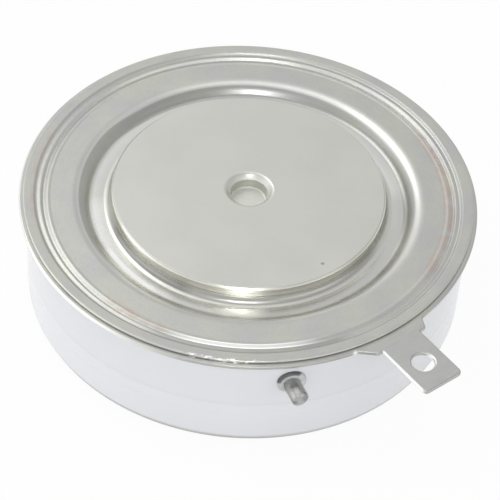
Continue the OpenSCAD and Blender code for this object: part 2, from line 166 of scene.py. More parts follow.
def set_mesh(name: str, points: Array, faces: Array, normals: Array, bright: Array) -> Mesh:
    """Puts arrays into a new mesh with smooth faces, its own normals and the attribute "bright".

    Args:
        name: the mesh's name.
        points: n x 3 points in metres.
        faces: m x 3 corners of each triangle.
        normals: n x 3 unit normals.
        bright: n shares, 1 where painted light turns it near white and 0 where it is plain.

    Returns:
        The mesh.
    """
    mesh = bpy.data.meshes.new(name)
    mesh.from_pydata(points.tolist(), [], faces.tolist(), shade_flat=False)
    mesh.normals_split_custom_set_from_vertices(normals.tolist())
    shares = mesh.attributes.new(BRIGHT, "FLOAT", "POINT")
    shares.data.foreach_set("value", bright.astype(np.float32))
    return mesh


def grid_faces(rows: int, columns: int, closed: bool) -> Array:
    """Triangles of a grid whose columns run round, numbered row by row.

    Args:
        rows: rows of the grid.
        columns: columns of the grid.
        closed: whether the last row joins the first.

    Returns:
        m x 3 point numbers.
    """
    i, j = np.meshgrid(np.arange(rows if closed else rows - 1), np.arange(columns), indexing="ij")
    here, ahead = i * columns, (i + 1) % rows * columns
    j1 = (j + 1) % columns
    a, b, c, d = (k.ravel() for k in (here + j, ahead + j, ahead + j1, here + j1))
    return np.concatenate([np.stack([a, b, c], -1), np.stack([a, c, d], -1)])


def revolve(name: str, profile: Array, bright: Array | float = 0, columns: int = COLUMNS) -> Mesh:
    """Turns a profile about Z into a closed surface.

    A profile point at azimuth t is (r sin t, -r cos t, z), so azimuths turn from -Y towards +X,
    and its normal turns with it. The profile is a closed loop off the axis, or a line that starts
    and ends on it, whose ends become single points.

    Args:
        name: the mesh's name.
        profile: n x 2 rows of radius and height in millimetres.
        bright: share of painted highlight, of each row or of all.
        columns: steps round the axis.

    Returns:
        The mesh, in metres.
    """
    poles = profile[0, 0] < ON_AXIS
    bright = np.broadcast_to(bright, len(profile))
    r, z = profile.T
    if (r * np.roll(z, -1) - np.roll(r, -1) * z).sum() > 0:
        profile, bright = profile[::-1], bright[::-1]
    n = line_normals(profile, closed=not poles)
    t = np.linspace(0, TURN, columns, endpoint=False)
    body = slice(1, -1) if poles else slice(None)
    (r, z), (across, up) = profile[body].T, n[body].T
    turned = [np.outer(v, f) for v in (r, across) for f in (np.sin(t), -np.cos(t))]
    grid = np.dstack([*turned[:2], np.outer(z, np.ones(columns))]).reshape(-1, 3)
    normals = np.dstack([*turned[2:], np.outer(up, np.ones(columns))]).reshape(-1, 3)
    faces = grid_faces(len(r), columns, closed=not poles)
    share = np.repeat(bright[body], columns)
    if poles:
        ends, rise = (rows[[0, -1], 1:] * np.eye(3)[2:] for rows in (profile, np.sign(n)))
        j, last = np.arange(columns), (len(r) - 1) * columns
        j1 = (j + 1) % columns
        first = np.stack([np.full(columns, len(grid)), j, j1], -1)
        final = np.stack([np.full(columns, len(grid) + 1), last + j1, last + j], -1)
        grid, normals = np.concatenate([grid, ends]), np.concatenate([normals, rise])
        faces = np.concatenate([faces, first, final])
        share = np.concatenate([share, bright[[0, -1]]])
    return set_mesh(name, grid * MM, faces, normals, share)


def plate(name: str, loops: list, z: float, sheet: float, rounding: float, painted_light_way: tuple) -> Mesh:
    """A flat plate with rounded edges, between an outline and the holes in it.

    The edge's point at angle a from straight up is the loop's point moved in by rounding * (1 -
    sin a), at height +-(sheet / 2 - rounding + rounding |cos a|). The faces above and below are
    triangles between the loops moved in by the whole rounding. The cut wall gets painted light,
    the share sin a, where it faces the lit way, and none where it turns from it.

    Args:
        name: the mesh's name.
        loops: n x 2 outlines, the outer one anticlockwise and the holes clockwise.
        z: height of the plate's middle.
        sheet: thickness of the plate.
        rounding: radius of the rounded edges.
        painted_light_way: direction in the plan that the walls with the most painted light face.

    Returns:
        The mesh, in metres.
    """
    quarter = np.linspace(0, math.pi / 2, EDGE_STEPS)
    a = np.concatenate([quarter, math.pi - quarter[::-1]])
    sin_a, cos_a = np.sin(a), np.cos(a)
    heights = np.repeat([1, -1], EDGE_STEPS) * (sheet / 2 - rounding) + rounding * cos_a
    points, normals, faces, shares, rims, tops, bottoms = ([] for _ in range(7))
    start = 0
    for loop in loops:
        out, count = -line_normals(loop, closed=True), len(loop)
        xy = loop[None] + out[None] * (rounding * (sin_a - 1))[:, None, None]
        height, up = (np.outer(rows, np.ones(count)) for rows in (z + heights, cos_a))
        points.append(np.dstack([xy, height]).reshape(-1, 3))
        normals.append(np.dstack([out[None] * sin_a[:, None, None], up]).reshape(-1, 3))
        # Painted light on the cut wall, by how far it faces the lit way.
        facing = np.interp(out @ np.array(painted_light_way), PAINTED_LIGHT_COSINES, (0, 1))
        shares.append(np.outer(sin_a, facing).ravel())
        rims.append(loop - rounding * out)
        faces.append(grid_faces(len(a), count, closed=False) + start)
        tops.append(np.arange(count) + start)
        start += len(a) * count
        bottoms.append(np.arange(-count, 0) + start)
    cap = np.array(tessellate_polygon([[Vector((x, y, 0)) for x, y in rim] for rim in rims]))
    p = np.concatenate(rims)[cap]
    e, f = p[:, 1] - p[:, 0], p[:, 2] - p[:, 0]
    clockwise = e[:, 0] * f[:, 1] - e[:, 1] * f[:, 0] < 0
    cap[clockwise] = cap[clockwise][:, ::-1]
    faces += [np.concatenate(tops)[cap], np.concatenate(bottoms)[cap][:, ::-1]]
    points, faces, normals, shares = map(np.concatenate, (points, faces, normals, shares))
    return set_mesh(name, points * MM, faces, normals, shares)


def smooth_copy(node: str) -> Mesh:
    """A merged copy of a CAD node's mesh, smooth except where its faces meet at a sharp edge.

    Args:
        node: the CAD node.

    Returns:
        The mesh, in metres.
    """
    mesh = frame["nodes"][node].data.copy()
    mesh.name = f"{node}_surface"
    work = bmesh.new()
    work.from_mesh(mesh)
    bmesh.ops.remove_doubles(work, verts=work.verts, dist=MERGE_DISTANCE)
    work.to_mesh(mesh)
    work.free()
    mesh.shade_smooth()
    mesh.set_sharp_from_angle(angle=math.radians(SHARP_DEGREES))
    return mesh


# --- shader graphs ---


@dataclass
class Value:
    """A number in a shader graph. Python operators on it add Math nodes."""

    graph: "Graph"
    socket: NodeSocket

    def __add__(self, other: "Value | float") -> "Value":
        """self + other."""
        return self.graph.math("ADD", self, other)

    def __sub__(self, other: "Value | float") -> "Value":
        """self - other."""
        return self.graph.math("SUBTRACT", self, other)

    def __rsub__(self, other: float) -> "Value":
        """other - self."""
        return self.graph.math("SUBTRACT", other, self)

    def __mul__(self, other: "Value | float") -> "Value":
        """self * other."""
        return self.graph.math("MULTIPLY", self, other)

    __radd__ = __add__
    __rmul__ = __mul__

    def root(self) -> "Value":
        """The square root of self."""
        return self.graph.math("POWER", self, 0.5)

    def vary(self, amount: float) -> "Value":
        """The distance of self from a half, times an amount."""
        return (self - 0.5) * amount

    def ramp(self, low: float, high: float) -> "Value":
        """0 below low, 1 above high, smooth between them. low may be above high.

        Args:
            low: where the result is 0.
            high: where the result is 1.

        Returns:
            The smoothed step.
        """
        sockets = {"Value": self, "From Min": min(low, high), "From Max": max(low, high)}
        outputs = self.graph.add("MapRange", sockets, interpolation_type="SMOOTHSTEP")
        step = Value(self.graph, outputs["Result"])
        return 1 - step if low > high else step

    def window(self, low: float, high: float, soft: float) -> "Value":
        """1 between low and high and 0 outside, with edges of width soft."""
        return self.ramp(low - soft, low) * self.ramp(high + soft, high)


class Graph:
    """A material's or the world's node graph."""

    def __init__(self, block: ID) -> None:
        """Gives a block an empty node tree.

        Args:
            block: the material or the world.
        """
        block.use_nodes = True
        self.tree = block.node_tree
        self.tree.nodes.clear()

    def add(self, kind: str, sockets: dict | None = None, **settings: str) -> bpy_prop_collection:
        """Adds a node.

        Args:
            kind: the node's type after "ShaderNode".
            sockets: values or links by the socket's name or number. A colour has three numbers.
            settings: its settings, set before the sockets.

        Returns:
            The node's outputs.
        """
        node = self.tree.nodes.new(f"ShaderNode{kind}")
        for key, setting in settings.items():
            setattr(node, key, setting)
        for key, value in (sockets or {}).items():
            socket = node.inputs[key]
            value = value.socket if isinstance(value, Value) else value
            if isinstance(value, NodeSocket):
                self.tree.links.new(value, socket)
            elif isinstance(value, tuple) and len(value) < len(socket.default_value):
                socket.default_value = (*value, 1.0)
            else:
                socket.default_value = value
        return node.outputs

    def math(self, operation: str, *values: Value | float) -> Value:
        """A Math node of the named operation on the values, in order."""
        return Value(self, self.add("Math", dict(enumerate(values)), operation=operation)[0])

    def greatest(self, *values: Value) -> Value:
        """The greatest of some values."""
        return reduce(lambda first, second: self.math("MAXIMUM", first, second), values)

    def place(self) -> "Place":
        """The surface point in object coordinates, in millimetres."""
        scaled = self.shade(self.add("TexCoord")["Object"], 1 / MM)
        parts = self.add("SeparateXYZ", {0: scaled})
        return Place(self, scaled, *(Value(self, part) for part in parts))

    def mix(self, share: Value, first: object, second: object) -> NodeSocket:
        """The colour first, with a share of the colour second in its place."""
        sockets = {MIX_SHARE: share, MIX_FIRST: first, MIX_SECOND: second}
        return self.add("Mix", sockets, data_type="RGBA")[MIX_RESULT]

    def shade(self, colour: object, share: Value | float) -> NodeSocket:
        """A colour or a vector times a number."""
        return self.add("VectorMath", {0: colour, "Scale": share}, operation="SCALE")["Vector"]

    def bump(self, height: Value, depth: float, below: NodeSocket | None = None) -> NodeSocket:
        """A bumped normal.

        Args:
            height: the height from 0 to 1.
            depth: its full depth in millimetres.
            below: a normal that this one is added to.

        Returns:
            The normal.
        """
        sockets = {"Height": height, "Distance": depth * MM}
        if below is not None:
            sockets["Normal"] = below
        return self.add("Bump", sockets)["Normal"]


@dataclass
class Place:
    """A surface point in millimetres, and what is worked out from it."""

    graph: Graph
    vector: NodeSocket
    x: Value
    y: Value
    z: Value

    @cached_property
    def radius(self) -> Value:
        """Distance from the capsule's axis."""
        return (self.x * self.x + self.y * self.y).root()

    @cached_property
    def azimuth(self) -> Value:
        """Degrees from -Y towards +X, from -180 to 180."""
        return self.graph.math("ARCTAN2", self.x, self.y * -1.0) * math.degrees(1)

    def near(self, x: float, y: float, size: float) -> Value:
        """1 at a point of the plan and 0 from the distance size outwards."""
        dx, dy = self.x - x, self.y - y
        return (dx * dx + dy * dy).root().ramp(size, 0.0)

    def stretched(self, radial: float, round_axis: float, up: float) -> NodeSocket:
        """The point by radius, degrees of azimuth and height, each times its own factor."""
        values = self.radius * radial, self.azimuth * round_axis, self.z * up
        return self.graph.add("CombineXYZ", dict(enumerate(values)))[0]


@dataclass(frozen=True)
class Noise:
    """A noise over the surface, and what it changes.

    The scale is bumps per millimetre, or per unit of radius, azimuth and height times the stretch.
    The cut is where patches begin and where they are full. The tint and gloss are how far it
    changes colour and roughness, and the depth is a bump's millimetres.
    """

    scale: float
    octaves: float = 2.0
    weight: float = 0.5
    stretch: tuple = ()
    cut: tuple = ()
    tint: float = 0.0
    gloss: float = 0.0
    depth: float = 0.0

    def read(self, place: Place) -> Value:
        """The noise at a point of the surface.

        Args:
            place: the surface point.

        Returns:
            The noise from 0 to 1.
        """
        sockets = {"Scale": self.scale, "Detail": self.octaves, "Roughness": self.weight}
        sockets["Vector"] = place.stretched(*self.stretch) if self.stretch else place.vector
        noise = Value(place.graph, place.graph.add("TexNoise", sockets)["Fac"])
        return noise.ramp(*self.cut) if self.cut else noise


@dataclass(frozen=True)
class Zone:
    """A ring about the axis, or an arc of one, and what it changes.

    Radii and azimuths are each its start, its end and the width of its soft edges. The tint and
    gloss are how far it changes colour and roughness. A noise varies the tint by the grain.
    """

    radii: tuple
    azimuths: tuple = ()
    tint: float = 1.0
    grain: float = 0.0
    gloss: float = 0.0

    def mask(self, place: Place) -> Value:
        """1 inside the zone and 0 outside it."""
        ring = place.radius.window(*self.radii)
        return ring * place.azimuth.window(*self.azimuths) if self.azimuths else ring

    def shown(self, place: Place, noise: Value | None = None) -> Value:
        """The mask times the tint, which the noise varies where there is one."""
        return self.mask(place) * (noise.vary(self.grain) + self.tint if noise else self.tint)


# --- finishes ---


class Slot(Enum):
    """The record's material slots."""

    POLE = "pole_plating"
    SHEET = "flange_plating"
    BRAZE = "braze"
    CERAMIC = "glazed_alumina"
    GATE_TUBE = "gate_nickel"
    GATE_BRAZE = "gate_braze"
    SILVER = "silver"
    INSULATOR = "insulator"
    SPRING = "spring_steel"
    MOLYBDENUM = "molybdenum"
    SILICON = "silicon"
    SEAL = "seal_rubber"


@dataclass(frozen=True)
class Finish:
    """A plain finish: one colour that varies a little, with a fine bump."""

    name: str
    slot: Slot
    colour: tuple
    roughness: float
    metallic: float = 0.0
    tone: Noise = Noise(0.35, 3, tint=0.10, gloss=0.12)
    grain: Noise = Noise(3, tint=0.05, depth=0.004)
    coat: float = 0.0

    def material(self) -> Material:
        """Builds the material.

        Returns:
            The material, with its colour, roughness and bump from nodes.
        """
        material = bpy.data.materials.new(self.name)
        graph = Graph(material)
        colour, roughness, normal = self.surface(graph.place())
        sockets = {"Base Color": colour, "Roughness": roughness, "Normal": normal}
        sockets |= {"Metallic": self.metallic, "Coat Weight": self.coat}
        graph.add("OutputMaterial", {"Surface": graph.add("BsdfPrincipled", sockets)[0]})
        return material

    def surface(self, place: Place) -> tuple:
        """The look at a point of the surface.

        Args:
            place: the surface point.

        Returns:
            Colour, roughness and normal.
        """
        tone, grain = self.tone.read(place), self.grain.read(place)
        share = 1 + tone.vary(self.tone.tint) + grain.vary(self.grain.tint)
        roughness = self.roughness + tone.vary(self.tone.gloss)
        graph = place.graph
        return graph.shade(self.colour, share), roughness, graph.bump(grain, self.grain.depth)


@dataclass(frozen=True)
class PolePlating(Finish):
    """Satin nickel on the pole pieces, with a faint turned grain and one dark speck."""

    tone: Noise = Noise(0.14, 3, tint=0.10, gloss=0.10)
    grain: Noise = Noise(5, tint=0.05, depth=0.002)
    turned: Noise = Noise(1, stretch=(6, 0.01, 1), gloss=0.06, depth=0.0015)
    speck: tuple = (9.65, -12.3, 0.35)
    speck_z: tuple = (15.0, 15.5)
    speck_share: float = 0.7
    speck_colour: tuple = (0.12, 0.11, 0.10)
    # Painted light: the side wall, shaded in the groove, is lightened towards pale cream.
    wall: Zone = Zone((17.4, 17.52, 0.05), tint=0.85, gloss=-0.12)
    painted_light_wall_colour: tuple = (0.86, 0.85, 0.76)
    # Painted light: the centre hole is lightened. Its higher roughness is the drilled hole's duller
    # finish.
    hole: Zone = Zone((0, 2.3, 0.9), tint=0.14, gloss=0.25)
    # Painted shade at the foot of the side wall, deeper at the left front.
    foot_shade: Zone = Zone((17.56, 18.02, 0.12), (-70, 60, 12), 0.24)
    deep_foot_shade: Zone = Zone((17.56, 18.02, 0.12), (-64, -26, 8), 0.24)

    def surface(self, place: Place) -> tuple:
        """Adds turned grain, speck, painted light on wall and dull hole, painted foot shade.

        Args:
            place: the surface point.

        Returns:
            Colour, roughness and normal.
        """
        graph = place.graph
        colour, roughness, normal = super().surface(place)
        turned = self.turned.read(place)
        wall, hole = self.wall.mask(place), self.hole.mask(place)
        speck = place.near(*self.speck) * place.z.ramp(*self.speck_z) * self.speck_share
        colour = graph.mix(speck, colour, self.speck_colour)
        # Painted light on the side wall.
        colour = graph.mix(wall * self.wall.tint, colour, self.painted_light_wall_colour)
        # Painted shade at the wall's foot, and painted light in the centre hole.
        unshaded = 1 - self.foot_shade.shown(place) - self.deep_foot_shade.shown(place)
        colour = graph.shade(colour, unshaded * (1 + hole * self.hole.tint))
        roughness += turned.vary(self.turned.gloss)
        roughness += wall * self.wall.gloss + hole * self.hole.gloss
        return colour, roughness, graph.bump(turned, self.turned.depth, normal)


@dataclass(frozen=True)
class SheetPlating(Finish):
    """Matte nickel on the pressed sheets, with a coppery flush along the weld.

    What shows on the lid alone is kept above upper_z. The dark band of painted shade in the groove
    lies further out by band_shift where it is shifted, and is open over the gap.
    """

    tone: Noise = Noise(0.45, 3, tint=0.08, gloss=0.10)
    grain: Noise = Noise(4.5, 3, 0.7, tint=0.22, depth=0.012)
    streak: Noise = Noise(1, 3, stretch=(7, 0.12, 0), tint=0.16, depth=0.004)
    patch: Noise = Noise(0.22, 3, 0.6, cut=(0.35, 0.65))
    worn: Noise = Noise(0.8, 4, cut=(0.3, 0.6))
    # Speckle of the painted glints on the lid's edge.
    glint_speckle: Noise = Noise(1, 3, stretch=(2.6, 0.55, 2), cut=(0.5, 0.6))
    cool_colour: tuple = (0.485, 0.485, 0.475)
    # Near white of the painted light, glints, reflections and highlights, made smoother there.
    painted_highlight_colour: tuple = (0.97, 0.97, 0.95)
    highlight_gloss: float = -0.12
    flush_colour: tuple = (0.50, 0.40, 0.34)
    flushes: tuple = (
        Zone((27.3, 27.65, 0.25), tint=0.05),
        Zone((27.3, 27.65, 0.25), (-104, -76, 8), 0.5),
        Zone((25.05, 26.15, 0.3), (66, 118, 8), 0.5),
        Zone((25.05, 26.15, 0.3), (-34, -24, 8), 0.5),
    )
    upper_z: tuple = (9.0, 11.0)
    tab: Zone = Zone((30.2, 99, 0.8))
    rim: Zone = Zone((27.5, 99, 0.3), tint=0.03)
    rim_calm: float = 0.6
    groove: Zone = Zone((0, 21.6, 0.7), gloss=-0.07)
    groove_calm: float = 0.8
    # Painted shade: a dark line on the weld groove's outer wall.
    seam: Zone = Zone((27.15, 27.29, 0.08), tint=0.3)
    # Painted shade on the flange's lower edge and the tab's root, at azimuths 24 to 42.
    edge_shade: Zone = Zone((29.1, 30.4, 0.05), (24, 42, 10), 0.2)
    edge_shade_z: tuple = (15.2, 15.05)
    shade: Zone = Zone((0, 20.1, 0.4), (12, 92, 12), 0.27)
    # Painted shade in the hollow between the weld's rings at the front, with no painted light
    # there.
    hollow: Zone = Zone((26.38, 27, 0.08), (-20, 24, 8), 0.25)
    hollow_matte: float = 0.9
    # Painted shade: the dark band on the groove's outer slope.
    band_r: tuple = (20.05, 21.2, 0.25)
    band_shift: float = 0.35
    band_shifted: tuple = (-115.0, -50.0, 20.0)
    band_gap: tuple = (-48.0, 70.0, 18.0)
    band_tint: float = 0.26
    band_matte: float = 0.7
    # Painted glints along the lid's edge at the front, broken up by the speckle noise.
    painted_edge_glints: Zone = Zone((28.42, 28.72, 0.08), (-10.5, 3, 2))
    # Painted reflection on the groove's floor at the left.
    painted_floor_reflection: Zone = Zone((18.2, 20.6, 0.3), (-80, -32, 16), 0.6, 0.6)
    # Painted reflection on the groove's outer slope at the left front.
    painted_wall_reflection: Zone = Zone((19.5, 20.7, 0.5), (-56, -36, 12), 0.9)
    # Painted highlight on the weld's step at the front.
    painted_step_highlight: Zone = Zone((25.68, 26.22, 0.12), (-8, 10, 16), 1.05, 0.5)
    # Painted highlights: over the whole groove, and on two rings at the front.
    painted_groove_highlights: tuple = (
        Zone((0, 21.6, 0.7), tint=0.3),
        Zone((20.2, 21.3, 0.2), (-20, 50, 10), 0.45),
        Zone((18.3, 18.8, 0.15), (-20, 50, 10), 0.45),
    )
    # A painted glint at the left end of the tab's root.
    painted_root_glint: tuple = (14.0, -25.8, 0.5)

    def bright(self, place: Place, grain: Value) -> Value:
        """The share of painted light: the mesh's own, painted glints, reflections and highlights.

        Args:
            place: the surface point.
            grain: the fine grain.

        Returns:
            The share from 0 to 1.
        """
        graph, upper = place.graph, place.z.ramp(*self.upper_z)
        # The mesh's share of painted light, on the flange's cut walls and the lid's slopes and
        # edge.
        mesh_painted_light = Value(graph, graph.add("Attribute", attribute_name=BRIGHT)["Fac"])
        # Painted glints, reflections and highlights, kept above upper_z.
        spots = (
            self.painted_edge_glints.mask(place) * self.glint_speckle.read(place),
            self.painted_floor_reflection.shown(place, grain),
            self.painted_wall_reflection.shown(place),
            sum(zone.shown(place) for zone in self.painted_groove_highlights),
            self.painted_step_highlight.shown(place, grain),
            place.near(*self.painted_root_glint),
        )
        return graph.greatest(mesh_painted_light, *(spot * upper for spot in spots))

    def surface(self, place: Place) -> tuple:
        """The matte grain, the rim's drawn streaks, the weld's flush, and painted shade and light.

        Args:
            place: the surface point.

        Returns:
            Colour, roughness and normal.
        """
        graph = place.graph
        tone, grain, streak = (noise.read(place) for noise in (self.tone, self.grain, self.streak))
        rim, groove = self.rim.mask(place), self.groove.mask(place)
        shift = place.azimuth.window(*self.band_shifted) * self.band_shift
        band = (place.radius - shift).window(*self.band_r)
        band *= 1 - place.azimuth.window(*self.band_gap)
        share = 1 + grain.vary(self.grain.tint) * (1 - rim * self.rim_calm)
        share += tone.vary(self.tone.tint) + streak.vary(self.streak.tint) * rim
        share -= self.edge_shade.shown(place) * place.z.ramp(*self.edge_shade_z)
        share -= sum(zone.shown(place) for zone in (self.rim, self.shade, self.hollow))
        share -= band * self.band_tint
        bright = self.bright(place, grain) * (1 - band * self.band_matte)
        bright *= 1 - self.hollow.mask(place) * self.hollow_matte
        cool = graph.greatest(self.patch.read(place), self.tab.mask(place))
        plain = graph.mix(cool, self.colour, self.cool_colour)
        plain = graph.shade(plain, share * (1 - self.seam.shown(place)))
        flush = sum(zone.shown(place) for zone in self.flushes)
        flush *= self.worn.read(place) * place.z.ramp(*self.upper_z)
        # Painted light and highlights mixed in as near white.
        colour = graph.mix(bright, plain, self.painted_highlight_colour)
        colour = graph.mix(flush, colour, self.flush_colour)
        roughness = self.roughness + tone.vary(self.tone.gloss)
        roughness += groove * self.groove.gloss + bright * self.highlight_gloss
        fine = graph.bump(grain * (1 - groove * self.groove_calm), self.grain.depth)
        return colour, roughness, graph.bump(streak * rim, self.streak.depth, fine)


@dataclass(frozen=True)
class Glaze(Finish):
    """White glaze on the alumina ring, a little cooler and uneven in thickness."""

    tone: Noise = Noise(0.12, tint=0.04, gloss=0.08, depth=0.03)
    grain: Noise = Noise(1.6, tint=0.015)
    lines: tuple = (7.1, 5.45)
    line_soft: float = 0.2
    line_depth: float = 0.04
    # Painted light below the upper line, and a faint line of painted shade above it.
    lit: float = 0.025
    shade_line_z: tuple = (7.25, 7.6, 0.2)
    shade_line_tint: float = 0.02
    # Painted shade at the foot, where the ring meets the anode flange.
    foot_shade_z: tuple = (1.7, 1.0)
    foot_shade_tint: float = 0.3

    def surface(self, place: Place) -> tuple:
        """A slow waviness, the two lines where the glaze was drawn, and painted shade at the foot.

        Each line is a step of the bump. Below the upper one the glaze gets painted light, and just
        above it lies a faint line of painted shade.

        Args:
            place: the surface point.

        Returns:
            Colour, roughness and normal.
        """
        wave, pore = self.tone.read(place), self.grain.read(place)
        soft = self.line_soft
        below, lower = (place.z.ramp(line + soft, line - soft) for line in self.lines)
        share = 1 - self.lit + below * self.lit - place.z.window(*self.shade_line_z) * self.shade_line_tint
        share -= place.z.ramp(*self.foot_shade_z) * self.foot_shade_tint
        share += wave.vary(self.tone.tint) + pore.vary(self.grain.tint)
        slow = place.graph.bump(wave, self.tone.depth)
        normal = place.graph.bump(below + lower, self.line_depth, slow)
        colour = place.graph.shade(self.colour, share)
        return colour, self.roughness + wave.vary(self.tone.gloss), normal


@dataclass(frozen=True)
class OxidisedMetal(Finish):
    """Dull grey metal with darker patches, as on the gate tube and its braze."""

    tone: Noise = Noise(0.9, 4, 0.6, gloss=0.2)
    grain: Noise = Noise(3, 3, tint=0.2, depth=0.02)
    patch_colour: tuple = (0.10, 0.10, 0.10)
    patch_cut: tuple = (0.45, 0.68)
    patch_share: float = 0.5
    # Painted shade in an arc round the collar's upper left, under the flange.
    shade_arc_share: float = 0.0
    arc_r: tuple = (1.4, 1.6)
    arc_slant: float = 0.45
    arc_rise: tuple = (0.7, 1.2)
    gate_azimuth: float = 13.5
    gate_z: float = 11.4

    def surface(self, place: Place) -> tuple:
        """Dark patches, and a painted shade arc round the upper left of the rim.

        u and w are the distances right of the gate's axis and above it. The arc is where both the
        distance from the axis and w - arc_slant * u are large.

        Args:
            place: the surface point.

        Returns:
            Colour, roughness and normal.
        """
        plain, roughness, normal = super().surface(place)
        a = math.radians(self.gate_azimuth)
        u, w = place.x * math.cos(a) + place.y * math.sin(a), place.z - self.gate_z
        # Painted shade in the arc.
        arc = (u * u + w * w).root().ramp(*self.arc_r)
        arc *= (w - u * self.arc_slant).ramp(*self.arc_rise) * self.shade_arc_share
        patch = self.tone.read(place).ramp(*self.patch_cut) * self.patch_share
        colour = place.graph.mix(place.graph.greatest(patch, arc), plain, self.patch_colour)
        return colour, roughness, normal


class Finishes:
    """Every material of the capsule, made once and shared."""

    def __init__(self) -> None:
        """Builds the materials by slot."""
        uneven, cast = Noise(0.35, 3, tint=0.24, gloss=0.12), Noise(2.5, tint=0.12, depth=0.02)
        waxy, rubbery = (Noise(3, tint=0.05, depth=depth) for depth in (0.006, 0.01))
        crusty = Noise(2, 3, tint=0.2, depth=0.03)
        finishes = (
            PolePlating("pole_nickel", Slot.POLE, (0.60, 0.605, 0.565), 0.33, 1.0),
            SheetPlating("sheet_nickel", Slot.SHEET, (0.515, 0.52, 0.475), 0.42, 1.0),
            Finish("silver_copper_braze", Slot.BRAZE, (0.50, 0.42, 0.37), 0.5, 1.0, uneven, cast),
            Glaze("white_glaze", Slot.CERAMIC, (0.80, 0.81, 0.84), 0.22, coat=0.3),
            OxidisedMetal("tube_nickel", Slot.GATE_TUBE, (0.44, 0.44, 0.435), 0.42, 1.0),
            OxidisedMetal(
                "dull_braze", Slot.GATE_BRAZE, (0.62, 0.62, 0.63), 0.5, 0.5,
                grain=crusty, patch_share=0.2, shade_arc_share=0.95,
            ),
            Finish("fine_silver", Slot.SILVER, (0.80, 0.80, 0.78), 0.3, 1.0),
            Finish("fluoropolymer", Slot.INSULATOR, (0.84, 0.83, 0.79), 0.55, grain=waxy),
            Finish("spring_wire", Slot.SPRING, (0.45, 0.46, 0.47), 0.35, 1.0),
            Finish("ground_molybdenum", Slot.MOLYBDENUM, (0.36, 0.36, 0.37), 0.4, 1.0),
            Finish("lapped_silicon", Slot.SILICON, (0.16, 0.165, 0.18), 0.25, 0.6),
            Finish("silicone_rubber", Slot.SEAL, (0.35, 0.08, 0.05), 0.6, grain=rubbery),
        )
        self.by_slot = {finish.slot: finish.material() for finish in finishes}
        self.replaced = set()

    def dress_node(self, node: str, slot: Slot) -> None:
        """Gives a CAD node's own object the material of a slot."""
        frame["nodes"][node].material_slots[0].material = self.by_slot[slot]

    def dress_mesh(self, mesh: Mesh, slot: Slot, node: str) -> Object:
        """Makes a mesh a finished piece that stands for a CAD node.

        Args:
            mesh: the piece's mesh, in metres in the shared frame.
            slot: the record's material slot.
            node: the CAD node that it stands for.

        Returns:
            The piece.
        """
        mesh.materials.clear()
        mesh.materials.append(self.by_slot[slot])
        piece = bpy.data.objects.new(mesh.name, mesh)
        bpy.context.scene.collection.objects.link(piece)
        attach(piece, BODY)
        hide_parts(node)
        self.replaced.add(node)
        return piece


# --- sub-assemblies ---


@dataclass
class CathodeLid:
    """The pressed sheet round the cathode pole piece. Sizes in millimetres.

    The shines are shares of painted highlight: on the groove's wall, on the weld and on the edge.
    """

    finishes: Finishes
    bore_r: float = 17.6
    floor_r: float = 19.85
    floor_margin: float = 0.3
    annulus_r: float = 22.6
    split: float = 0.33
    edge_r: float = 28.7
    z_top: float = 15.65
    sheet: float = 0.4
    groove_depth: float = 1.85
    annulus_drop: float = 0.45
    weld: tuple = (
        (25.15, 15.2), (25.55, 15.25), (26.15, 15.03), (26.52, 15.38), (26.97, 15.29), (27.42, 15.6)
    )
    seat_r: tuple = (26.05, 26.45)
    edge_round: float = 0.18
    edge_points: int = 13
    shines: tuple = (0.7, 0.55, 0.3)

    def profile(self) -> tuple:
        """The sheet's section.

        The upper face runs floor, joggle up to the annulus, the weld's two rings as waves, and
        rim. The lower face is the middle line moved down half the sheet, with a step up to its
        seat on the flange.

        Returns:
            A closed loop of radius and height, and the share of painted highlight at each point,
            which rises with the square of the slope.
        """
        z, half = self.z_top - self.sheet / 2, self.sheet / 2
        low, annulus = z - self.groove_depth, z - self.annulus_drop
        flat = np.array([[self.bore_r, low], [self.floor_r - self.floor_margin, low]])
        rise = joggle((self.floor_r, low), (self.annulus_r, annulus), self.split)
        wall = np.concatenate([flat, rise])
        seat = joggle((self.seat_r[0], annulus), (self.seat_r[1], z), steps=8)
        line = np.concatenate([wall, seat])
        lower = line - line_normals(line, closed=False) * half
        upper = np.concatenate([wall + line_normals(wall, closed=False) * half, waves(self.weld)])
        a = np.linspace(math.pi / 2, -math.pi / 2, self.edge_points)
        edge_r = self.edge_r - self.edge_round * (1 - np.cos(a))
        edge_z = z + np.where(a > 0, half - self.edge_round, self.edge_round - half)
        edge = np.stack([edge_r, edge_z + self.edge_round * np.sin(a)], -1)
        # Painted highlight, near white on steep slopes and round the edge.
        on_wall, on_weld, on_edge = self.shines
        slope = line_normals(upper, closed=False)[:, 0] ** 2
        shine = slope * np.where(upper[:, 0] < self.annulus_r, on_wall, on_weld)
        shares = np.concatenate([shine, np.cos(a) * on_edge, np.zeros(len(lower))])
        return np.concatenate([upper, edge, lower[::-1]]), shares

    def build(self) -> list:
        """Builds the lid's piece and returns it in a list."""
        mesh = revolve("cathode_lid_sheet", *self.profile(), columns=FINE_COLUMNS)
        return [self.finishes.dress_mesh(mesh, Slot.SHEET, "cathode_lid")]


